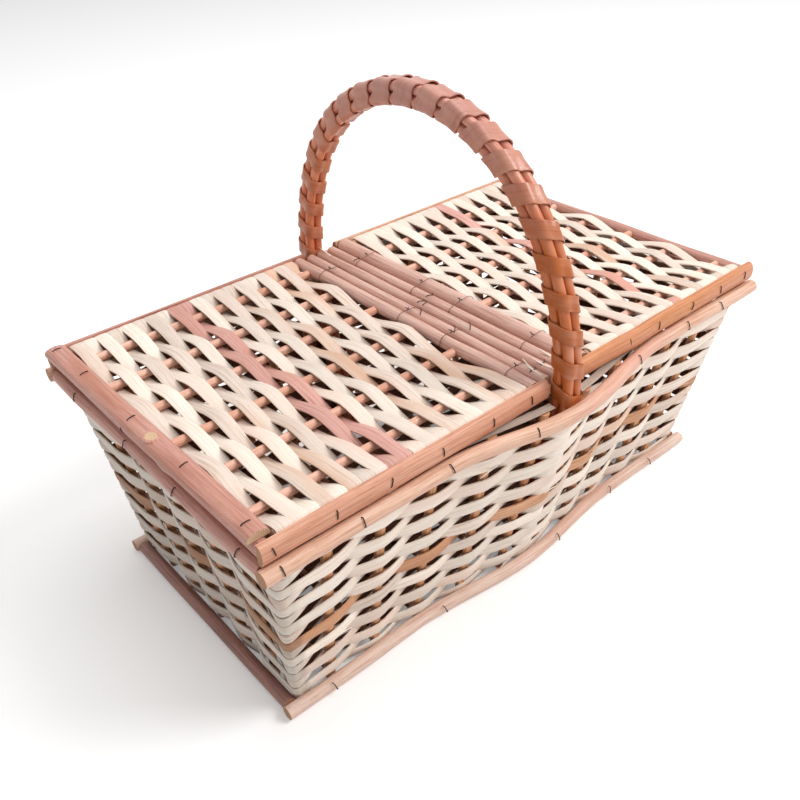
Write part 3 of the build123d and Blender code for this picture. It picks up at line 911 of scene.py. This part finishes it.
def wall_stakes():
    """The uprights of all four walls, cut off under the rim strips."""
    rng = random.Random(15)
    for name in SIDES:
        made = Strands(f"{name}_stakes")
        long_wall = name in ("front", "back")
        way = -1 if name in ("front", "left") else 1
        ends = []
        for z in (STAKE_FOOT_Z, STAKE_TOP_Z):
            if long_wall:
                ends.append([Vector((x, way * (half_width(z) + ridge(x, z)), z)) for x in long_stakes(z)])
            else:
                ends.append([Vector((way * half_length(z), y, z)) for y in short_stakes(z)])
        out = (Y_AXIS if long_wall else X_AXIS) * way
        for foot, head in zip(*ends):
            split_stake(made, foot, head, out, rng)
        made.finish("basket", [STAKE], "stake", [f"{name}_wall_stakes"])


def rim_strips():
    """The flat strips that close the rim between its two rods."""
    rng = random.Random(16)
    made = Strands("rim_strips")
    z = STAKE_TOP_Z + 1
    reach = HALF_LENGTH_RIM - 2
    side = HALF_WIDTH_RIM - 5

    def lay(path, across):
        made.loft(strip_rings(path, across, RIM_STRIP_W), tone=rng.uniform(-0.6, 0.6))

    for way in (-1, 1):
        for start, end in ((-reach, HANDLE_X - LEG_ROOM), (HANDLE_X + LEG_ROOM, reach)):
            path = []
            for x in samples(start, end, 40):
                path.append(Vector((x, way * (HALF_WIDTH_RIM + 0.8 * soft_ridge(x, RIDGE_RIM)), z)))
            lay(path, -Y_AXIS)
        lay([Vector((way * HALF_LENGTH_RIM, y, z)) for y in samples(-side, side, 20)], X_AXIS)
    made.finish("basket", [ASH], "rim_cane")


def woven_floor():
    """The strips along the floor, over and under the cross stakes."""
    rng = random.Random(12)
    weave = Strands("floor_strips")
    reach = half_length(FLOOR_Z) - STAKE_D / 2 - FIT - WAVE
    for row, y in enumerate(places(FLOOR_STRIPS, FLOOR_PITCH)):
        knots = [(x, WAVE * side_of(i, row)) for i, x in enumerate(long_places(FLOOR_Z))]
        line = woven_line([(-reach, 0), *knots, (reach, 0)])
        path = [Vector((x, y, FLOOR_Z + rise)) for x, rise in line]
        widths = leaf_widths(path, [-rise for _, rise in line], FLOOR_STRIP_W, rng)
        # The strips' flat sides take the dark material, as painted shade.
        weave.loft(strip_rings(path, -Y_AXIS, widths), tone=rng.uniform(-1, 1), inner_shade_slot=1)
    weave.finish("basket", [BUFF, INNER_SIDE_SHADE], "willow_strip", ["floor_weave"])


woven_walls()
wall_stakes()
rim_strips()
woven_floor()


# The lids
def lid_strips(side, strips, pink, seed, stakes):
    """A lid's strips, which run across it and wrap over its front and back rods."""
    rng = random.Random(seed)
    weave = Strands(f"{side}_lid_strips")
    frame_y = LID_HALF_WIDTH - FACING_T - FIT - LID_ROD_D / 2
    over_frame = LID_ROD_D / 2 + FIT + STRIP_T / 2
    wrap = [(frame_y - WRAP_BEFORE, over_frame), (frame_y + WRAP_AFTER, over_frame)]
    wrap.append((frame_y + LID_ROD_D / 2, over_frame - END_DROP))
    low, high = node_box(f"{side}_lid_weave")
    for row, x in enumerate(samples(low.x + STRIP_MARGIN, high.x - STRIP_MARGIN, strips - 1)):
        knots = [(-y, rise) for y, rise in reversed(wrap)]
        for i, y in enumerate(stakes):
            knots.append((y, WAVE * side_of(LID_STAKES - 1 - i, row) * rng.uniform(*LID_SWINGS)))
        drift = wander(rng, 90, 0.5)
        line = woven_line(knots + wrap)
        path = [Vector((x + drift(y), y, LID_Z + rise)) for y, rise in line]
        widths = leaf_widths(path, [rise for _, rise in line], rng.uniform(*LID_STRIP_W), rng)
        slot = 2 if row in pink else rng.choice((0, 0, 0, 1))
        # The strips' inner sides take the dark material, as painted shade.
        weave.loft(strip_rings(path, -X_AXIS, widths), tone=rng.uniform(-1, 1), slot=slot, inner_shade_slot=3)
    weave.finish(f"{side}_lid", [CREAM, BUFF, PINK, INNER_SIDE_SHADE], "willow_strip", [f"{side}_lid_weave"])


lid_strips("left", 20, (8, 9), 21, places(LID_STAKES, 38, 3.4))
lid_strips("right", 19, (10,), 22, places(LID_STAKES, 37.6, -4.4))


def rods(name, body, nodes, material, seed, knots=(), slot="pink_cane"):
    """Natural rods in place of straight CAD rods."""
    rng = random.Random(seed)
    made = Strands(name)
    for node in nodes:
        start, end, diameter = box_rod(node)
        grown_rod(made, natural_path(start, end, rng), diameter, rng, diameter * 0.018, 0.6, knots)
    made.finish(body, [material, CUT], slot, nodes)


rods("left_hinge_rod", "left_lid", ["left_lid_hinge_rod"], MAUVE, 31)
rods("right_hinge_rod", "right_lid", ["right_lid_hinge_rod"], MAUVE, 32, knots=[(150, 1.6, 1.0)])
rods("left_end_rod", "left_lid", ["left_lid_end_rod"], ROSE, 33, knots=[(90, 3.1, 1.2)])
rods("right_end_rod", "right_lid", ["right_lid_end_rod"], ROSE, 34)


def bar_lines():
    """The centre bar's box, and where its three rods lie."""
    low, high = node_box("centre_bar_rods")
    radius = (high.z - low.z) / 2
    return low, high, radius, samples(low.x + radius, high.x - radius, 2)


def bar():
    """The three rods of the centre bar, which aren't quite the same length."""
    rng = random.Random(35)
    made = Strands("bar_rods")
    low, high, radius, lines = bar_lines()
    for x, front_cut, back_cut in zip(lines, (0, 0, 1.5), (1.0, 0, 0)):
        start = Vector((x, low.y + front_cut, low.z + radius))
        end = Vector((x, high.y - back_cut, low.z + radius))
        grown_rod(made, natural_path(start, end, rng, amount=0.2), 2 * radius, rng, 0.12, 0.8)
    made.finish("basket", [MAUVE, PALE_CUT], "pink_cane", ["centre_bar_rods"])


bar()


def ridge_rods(name, y, z, reach, peak, diameter, material, seed):
    """A front and a back rod that swing out round the handle's legs."""
    for way, side in ((-1, "front"), (1, "back")):
        rng = random.Random(seed + way)
        made = Strands(f"{name}_{side}")
        bend = wander(rng, 100, 0.3)
        path = [Vector((x, way * (y + soft_ridge(x, peak) + bend(x)), z)) for x in samples(-reach, reach, 88)]
        grown_rod(made, path, diameter, rng, 0.14, 0.3)
        made.finish("basket", [material, CUT], f"{name}_cane", [f"{side}_{name}_rod"])


RIM_END = HALF_LENGTH_RIM + RIM_OUT + RIM_ROD_D / 2
BASE_END = HALF_LENGTH_BASE + BASE_OUT + BASE_ROD_D / 2
WORN_Y = HALF_WIDTH_BASE + BASE_OUT - BASE_DRAWN_IN
WORN_Z = BASE_Z - BASE_SUNK
ridge_rods("rim", HALF_WIDTH_RIM + RIM_OUT, RIM_Z, RIM_END, RIM_PEAK, RIM_ROD_D, TAN, 187)
ridge_rods("base", WORN_Y, WORN_Z, BASE_END, BASE_PEAK, BASE_WORN_D, BLUSH, 45)
rods("rim_sides", "basket", ["left_rim_rod", "right_rim_rod"], ROSE, 36, slot="rim_cane")


def side_base_rods():
    """The short base rods."""
    rng = random.Random(37)
    made = Strands("base_sides")
    nodes = ["left_base_rod", "right_base_rod"]
    for node in nodes:
        start, end, _ = box_rod(node)
        start.z = end.z = WORN_Z
        grown_rod(made, natural_path(start, end, rng), BASE_WORN_D, rng, 0.14, 0.5)
    # The side base rods take the darkened rod material: pinkish-brown rod colour, with its darkness painted
    # shade.
    made.finish("basket", [SHADE_DARKENED_ROD, CUT], "base_cane", nodes)


side_base_rods()


# Split facings and the top lath
def half_round_rings(path, flat_side, up, width, height, rng):
    """Sections of a split rod: flat against flat_side and rounded away from it."""
    swell = wander(rng, 110, 0.25)
    rings = []
    for s, centre in zip(lengths_along(path), path):
        w = width / 2 + swell(s)
        ring = [centre + up * -w, centre + up * w]
        for angle in samples(0, math.pi, 8):
            rise = height * (0.35 + 0.65 * math.sin(angle))
            ring.append(centre + up * (w * math.cos(angle)) + flat_side * rise)
        rings.append(ring)
    return rings


def facing(lid, side, material, seed, kink=0.0):
    """A split rod on a lid's front or back edge."""
    rng = random.Random(seed)
    node = f"{lid}_lid_{side}_facing"
    low, high = node_box(node)
    way = -1 if side == "front" else 1
    inner_y = high.y if side == "front" else low.y
    hinge, _, _ = box_rod(f"{lid}_lid_hinge_rod")
    if lid == "left":
        high.x = hinge.x + PAST_HINGE
    else:
        low.x = hinge.x - PAST_HINGE
    path = []
    for x in samples(low.x, high.x, 44):
        near = math.exp(-(((x - KINK_X) / KINK_REACH) ** 2))
        path.append(Vector((x, inner_y + way * kink * near, (low.z + high.z) / 2)))
    rings = half_round_rings(path, Y_AXIS * way, Z_AXIS, high.z - low.z - SPLIT_TRIM, high.y - low.y, rng)
    made = Strands(f"{lid}_{side}_facing")
    made.loft(rings, tone=rng.uniform(-0.4, 0.4), end_slot=1)
    made.finish(f"{lid}_lid", [material, CUT], "rim_cane", [node])


facing("left", "front", CLAY, 51)
facing("left", "back", ROSE, 52)
facing("right", "front", ORANGE, 53, kink=0.8)
facing("right", "back", TAN, 54)


def top_lath():
    """The broad split rod on the left lid's outer end."""
    low, high = node_box("left_lid_top_lath")
    x = (low.x + high.x) / 2
    path = [Vector((x, y, low.z)) for y in samples(low.y + 4, high.y, 40)]
    width = high.x - low.x - SPLIT_TRIM
    rings = half_round_rings(path, Z_AXIS, X_AXIS, width, high.z - low.z, random.Random(55))
    made = Strands("left_top_lath")
    made.loft(rings, tone=0.2, end_slot=1)
    made.finish("left_lid", [ROSE, PALE_CUT], "pink_cane", ["left_lid_top_lath"])


def lath_knot():
    """The pale scar of a cut twig on the top lath, from rings of a radius and a rise."""
    low, high = node_box("left_lid_top_lath")
    rings = []
    for r, rise in ((5.4, -1.8), (4.9, 0.1), (3.9, 0.6), (3.5, 0.5)):
        centre = Vector(((low.x + high.x) / 2 - 1, LATH_KNOT_Y, high.z + rise))
        turns = [2 * math.pi * k / ROD_SIDES for k in range(ROD_SIDES)]
        rings.append([centre + Vector((r * math.cos(t), 1.15 * r * math.sin(t), 0)) for t in turns])
    made = Strands("lath_knot")
    made.loft(rings, tone=0.8, end_slot=1)
    made.finish("left_lid", [ROSE, PALE_CUT], "pink_cane")


top_lath()
lath_knot()


# The handle
def handle_rods():
    """The four rods of the handle's bundle."""
    rng = random.Random(61)
    half = HANDLE_ROD_PITCH / 2
    for layer, out in (("outer", half), ("inner", -half)):
        for side, x in (("left", -half), ("right", half)):
            path = []
            for s in samples(-HALF_ARCH, HALF_ARCH, 180):
                middle, away = arch(s)
                path.append(middle + X_AXIS * x + away * out)
            made = Strands(f"handle_{layer}_{side}")
            rings = rod_rings(path, HANDLE_ROD_D / 2, 12, up=X_AXIS)
            made.loft(rings, tone=rng.uniform(1.2, 2.0), end_slot=1)
            made.finish("basket", [HANDLE, CUT], "handle_cane", [f"handle_rod_{layer}_{side}"])


def bundle_outline(share):
    """A point round the bundle, (across, out), and its outward direction there."""
    half = HANDLE_ROD_PITCH / 2
    r = HANDLE_ROD_D / 2 + BINDING_ROOM + BINDING_T / 2
    quarter_length = r * math.pi / 2 + HANDLE_ROD_PITCH
    at = share % 1.0 * 4 * quarter_length
    quarter = int(at // quarter_length)
    rest = at - quarter * quarter_length
    if rest < HANDLE_ROD_PITCH:
        dip = 0.45 * math.sin(math.pi * rest / HANDLE_ROD_PITCH) ** 2
        point = Vector((half + r - dip, -half + rest))
        normal = Vector((1, 0))
    else:
        turn = (rest - HANDLE_ROD_PITCH) / r
        point = Vector((half + r * math.cos(turn), half + r * math.sin(turn)))
        normal = Vector((math.cos(turn), math.sin(turn)))
    spin = Matrix.Rotation(quarter * math.pi / 2, 2)
    return spin @ point, spin @ normal


def binding():
    """One long strip of split cane, wound round the bundle from foot to foot."""
    steps = 32
    total = BINDING_TURNS * steps
    spread = wander(random.Random(63), 30, 0.35)
    path = []
    outs = []
    alongs = []
    for k, s in enumerate(samples(-SPRING_LENGTH - BINDING_PAST_SPRING, SPRING_LENGTH, total)):
        middle, away = arch(s)
        point, normal = bundle_outline(k / steps)
        path.append(middle + X_AXIS * point.x + away * point.y)
        outs.append(X_AXIS * normal.x + away * normal.y)
        alongs.append(away.cross(X_AXIS))
    rings = []
    for i, travel in enumerate(directions(path)):
        side = (alongs[i] - travel * alongs[i].dot(travel)).normalized()
        crown = math.sin(math.pi * i / total) ** 4
        width = mix(BINDING_FOOT_W, BINDING_CROWN_W, crown) + spread(i * 2.0)
        rings.append(section(path[i], side, outs[i], width, BINDING_T, BINDING_SECTION))
    made = Strands("handle_wrap")
    made.loft(rings, tone=-0.5)
    made.finish("basket", [HANDLE], "cane_binding", ["handle_binding"])


handle_rods()
binding()


# Wire: staples, ties and twists
def wire(made, bends, at, d=WIRE_D, up=Vector((0.12, 0.2, 1)), slot=0):
    """A bent wire at a place, through bends that are measured from there."""
    points = [Vector(at) + Vector(bend) for bend in bends]
    made.loft(rod_rings(points, d / 2, 6, up=up), slot=slot)


def staple(made, middle, along, out):
    """A staple: its crown lies on the wood and its ends go in."""
    half = along.normalized() * (STAPLE_LENGTH / 2)
    out = out.normalized()
    bends = ((-1, -1.2), (-0.95, 0.1), (-0.6, 0.45), (0.6, 0.45), (0.95, 0.1), (1, -1.2))
    points = [middle + half * share + out * rise for share, rise in bends]
    made.loft(rod_rings(points, STAPLE_R, 6, up=out.cross(half)))


def rim_staples():
    """Staples in the outer rim rods and the base rods."""
    rng = random.Random(71)
    made = Strands("rim_staples")

    def fasten(middle, out, radius, along):
        out = Vector(out).normalized()
        staple(made, Vector(middle) + out * radius, Vector(along), out)

    for way in (-1, 1):
        for x in RIM_STAPLES_X:
            x += rng.uniform(-3, 3) if way > 0 else 0
            y = HALF_WIDTH_RIM + RIM_OUT + soft_ridge(x, RIM_PEAK)
            along = (rng.uniform(-0.2, 0.2), -way * 0.5, 0.9)
            fasten((x, way * y, RIM_Z), (0, way * 0.9, 0.5), RIM_ROD_D / 2, along)
        for x in BASE_STAPLES_X:
            x += rng.uniform(-5, 5)
            y = HALF_WIDTH_BASE + BASE_OUT + soft_ridge(x, BASE_PEAK)
            along = (rng.uniform(-0.3, 0.3), -way * 0.4, 0.9)
            fasten((x, way * y, BASE_Z), (0, way * 0.9, 0.4), BASE_ROD_D / 2, along)
        for y in RIM_STAPLES_Y:
            y += rng.uniform(-6, 6)
            x = HALF_LENGTH_RIM + RIM_OUT
            along = (-way * 0.4, rng.uniform(-0.2, 0.2), 0.9)
            fasten((way * x, y, RIM_Z), (way * 0.9, 0, 0.4), RIM_ROD_D / 2, along)
    made.finish("basket", [WIRE], "wire")


def lid_staples(lid, front, back):
    """Staples in a lid's facings, and in the left lid's top lath."""
    rng = random.Random(72)
    made = Strands(f"{lid}_staples")
    low, high = node_box(f"{lid}_lid_front_facing")
    z = (low.z + high.z) / 2 + 1
    for way, places_x in ((-1, front), (1, back)):
        for x in places_x:
            centre = Vector((x, way * (LID_HALF_WIDTH - 0.1), z))
            staple(made, centre, Vector((rng.uniform(-0.25, 0.25), 0, 1)), Vector((0, way, 0.1)))
    if lid == "left":
        low, high = node_box("left_lid_top_lath")
        for y in LATH_STAPLES_Y:
            centre = Vector(((low.x + high.x) / 2 + rng.uniform(-1, 1), y, high.z))
            staple(made, centre, Vector((1, rng.uniform(-0.1, 0.3), 0)), Z_AXIS)
    made.finish(f"{lid}_lid", [WIRE], "wire")


def hinge_ties(side, way, tie_places):
    """Iron wire round a lid's hinge rod and the bar rod beside it, twisted on top."""
    rng = random.Random(73)
    made = Strands(f"{side}_ties")
    start, _, hinge_d = box_rod(f"{side}_lid_hinge_rod")
    _, _, bar_r, lines = bar_lines()
    bar_x = lines[0] if way < 0 else lines[-1]
    hinge_r = hinge_d / 2 + TIE_ROOM_HINGE
    bar_loop = bar_r + TIE_ROOM_BAR
    top = start.z + max(hinge_r, bar_loop) - TWIST_SUNK
    middle = (start.x + bar_x) / 2
    ring = []
    for x, r, first, shift in ((start.x, hinge_r, math.pi / 2, 0), (bar_x, bar_loop, -math.pi / 2, 0.3)):
        for k in range(13):
            turn = first - math.pi * k / 12
            ring.append((x + way * r * math.cos(turn), shift + 0.02 * k, r * math.sin(turn)))
    ring.append(ring[0])
    for y in tie_places:
        wire(made, ring, (0, y, start.z), d=TIE_WIRE_D, up=Y_AXIS, slot=1)
        tail = rng.uniform(-2, 2)
        wire(made, [(-1.4, -0.5, 0), (0, 0.4, 0.7), (1.6 + tail, 2, 0.5)], (middle, y, top))
        wire(made, [(1.2, -0.6, 0), (0, 0.2, 0.9), (-tail, 2.6, 0.9)], (middle, y, top))
    made.finish("basket", [WIRE, RUST], "wire", [f"{side}_hinge_ties"])


def bar_twists():
    """Short curls of wire on the bar rods, and splinters near the rods' ends."""
    rng = random.Random(74)
    made = Strands("bar_twists")
    _, high, _, lines = bar_lines()
    for near_x, y in BAR_TWISTS:
        x = min(lines, key=lambda line: abs(line - near_x))
        sway = rng.uniform(-2.4, 2.4)
        bends = (
            (-2.6, -sway, -1.6),
            (-1.6, -sway * 0.6, 0.25),
            (0.4, sway * 0.3, 0.5),
            (1.8, sway, 0.3),
            (2.2, sway + 1.8, 0.9),
        )
        wire(made, bends, (x, y, high.z))
    for near_x, y in SPLINTERS:
        x = min(lines, key=lambda line: abs(line - near_x)) + rng.uniform(-1, 1)
        lean = rng.uniform(-3, 3)
        points = [Vector((x + lean * k / 5, y + 2.6 * k, high.z - 0.3 + 0.09 * k**2)) for k in range(6)]
        sliver(made, points, -X_AXIS, 1.8, 0.4, 0.6, tone=0.5, slot=1)
    made.finish("basket", [WIRE, CREAM], "wire")


def end_loop():
    """A wire loop round the left end rod, and the pale split piece that it holds."""
    made = Strands("end_loop")
    start, _, diameter = box_rod("left_lid_end_rod")
    r = diameter / 2 + 0.4
    ring = []
    for share in samples(0, 1, 16):
        turn = 2 * math.pi * share
        ring.append((r * math.cos(turn), 0.2 * share, r * math.sin(turn)))
    wire(made, ring, (start.x, LOOP_Y, start.z), up=Y_AXIS)
    wire(made, [(0, 0, 0), (-1.2, 1.5, 1.2), (-0.4, 4, 1.6)], (start.x - 0.7 * r, LOOP_Y, start.z + 0.7 * r))
    points = []
    for k in range(9):
        away = Vector((-0.75, 0, 0.66)) * (diameter / 2 + 0.3 + 0.02 * (k - 2) ** 2)
        points.append(Vector((start.x, LOOP_Y + 8 - 4.5 * k, start.z)) + away)
    sliver(made, points, Vector((0.66, 0, 0.75)), 3.6, 1.2, 0.8, tone=0.3, slot=1)
    made.finish("left_lid", [WIRE, CREAM], "wire")


rim_staples()
lid_staples("left", (-201, -164, -129, -93, -55, -24), (-190, -150, -112, -74, -32))
lid_staples("right", (67, 97, 134, 167, 197), (48, 86, 128, 164, 192))
hinge_ties("left", -1, (-97, -42, -1, 84))
hinge_ties("right", 1, (-82, -18, 20, 80))
bar_twists()
end_loop()


# Floor, light and camera, in metres and watts
def white_floor():
    """A plain white floor, just under the basket."""
    bpy.ops.mesh.primitive_plane_add(size=FLOOR_SIZE, location=(0, 0, -FLOOR_DROP))
    floor = bpy.context.object
    floor.name = "floor"
    shader = Shader(bpy.data.materials.new("floor_white"))
    glow = shader.calculate(shader.direct_rays(), FLOOR_GLOW, "MULTIPLY")
    shader.finish(
        Base_Color=(0.94, 0.94, 0.94, 1),
        Roughness=0.9,
        Specular_IOR_Level=0.0,
        Emission_Color=WHITE,
        Emission_Strength=glow,
    )
    floor.data.materials.append(shader.owner)


def surround():
    """A white surround that lights the object less brightly than it looks."""
    world = bpy.data.worlds.new("surround")
    bpy.context.scene.world = world
    shader = Shader(world, surface="Background")
    shader.finish(Color=WHITE, Strength=shader.map_range(shader.direct_rays(), low=SURROUND_LIGHT))


def lamp(name, place, size, power):
    """A soft round lamp that shines at the origin."""
    light = bpy.data.lights.new(name, "AREA")
    light.shape = "DISK"
    light.size = size
    light.energy = power
    lit = bpy.data.objects.new(name, light)
    lit.location = place
    lit.rotation_euler = (-Vector(place)).to_track_quat("-Z", "Y").to_euler()
    bpy.context.scene.collection.objects.link(lit)


def set_camera():
    """The photograph's viewpoint: above the left front corner, looking down."""
    camera = bpy.data.cameras.new("camera")
    camera.lens = LENS
    camera.sensor_width = SENSOR
    view = bpy.data.objects.new("camera", camera)
    look = Vector((math.sin(YAW) * math.cos(PITCH), math.cos(YAW) * math.cos(PITCH), math.sin(PITCH)))
    right = look.cross(Z_AXIS).normalized()
    above = right.cross(look)
    turned_right = right * math.cos(ROLL) + above * math.sin(ROLL)
    turned_up = above * math.cos(ROLL) - right * math.sin(ROLL)
    turn = Matrix((turned_right, turned_up, -look)).transposed().to_4x4()
    view.matrix_world = Matrix.Translation(CAMERA_PLACE) @ turn
    bpy.context.scene.collection.objects.link(view)
    bpy.context.scene.camera = view


white_floor()
surround()
lamp("key_lamp", (1.2, -1.2, 1.9), 1.2, 35)
lamp("top_lamp", (0.2, 0.3, 2.4), 1.8, 22)
set_camera()
bpy.context.scene.view_settings.view_transform = "Standard"
